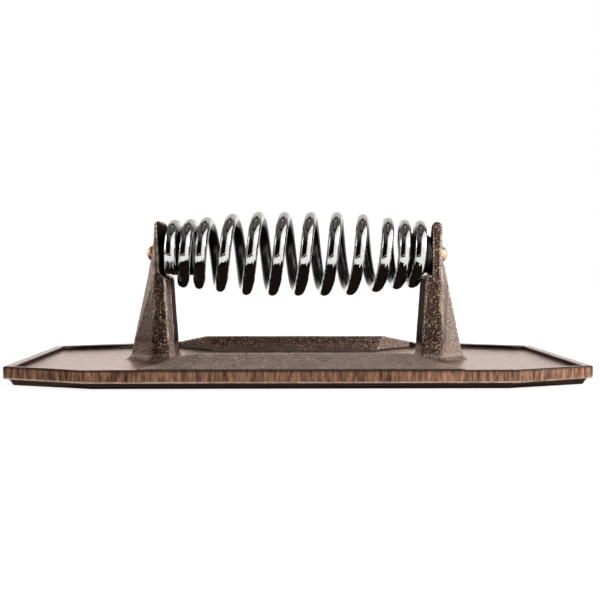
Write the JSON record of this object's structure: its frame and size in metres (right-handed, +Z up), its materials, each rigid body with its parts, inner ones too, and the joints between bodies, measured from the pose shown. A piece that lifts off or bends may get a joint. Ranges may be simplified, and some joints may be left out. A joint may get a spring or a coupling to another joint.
{
  "type": "grill press",
  "caption": "Elongated octagonal cast-iron grill press with sloped wing panels, tapered posts and a barrel-shaped coiled wire handle held by domed brass screws.",
  "frame": {"origin": "centre of the pressing face, on the surface that the press stands on", "axes": "+X along the handle and the plate's length, +Y to the rear long side, +Z up"},
  "size_m": [0.23, 0.115, 0.0696],
  "materials": {
    "cast_iron": "as-cast, seasoned",
    "stainless_wire": "polished stainless steel wire",
    "zinc_steel": "dull plated steel",
    "turned_steel": "turned, oiled",
    "brass": "polished"
  },
  "bodies": {
    "press": {"press_casting": "cast_iron", "handle_spring": "stainless_wire", "left_spacer": "zinc_steel", "right_spacer": "zinc_steel", "left_end_plug": "turned_steel", "right_end_plug": "turned_steel"},
    "left_screw": {"left_dome_screw": "brass"},
    "right_screw": {"right_dome_screw": "brass"}
  },
  "joints": [
    {"name": "left_screw_turn", "type": "hinge", "parent": "press", "child": "left_screw", "pos_m": [-0.062, 0, 0.0515], "axis": [-1, 0, 0], "continuous": true},
    {"name": "right_screw_turn", "type": "hinge", "parent": "press", "child": "right_screw", "pos_m": [0.062, 0, 0.0515], "axis": [1, 0, 0], "continuous": true}
  ]
}
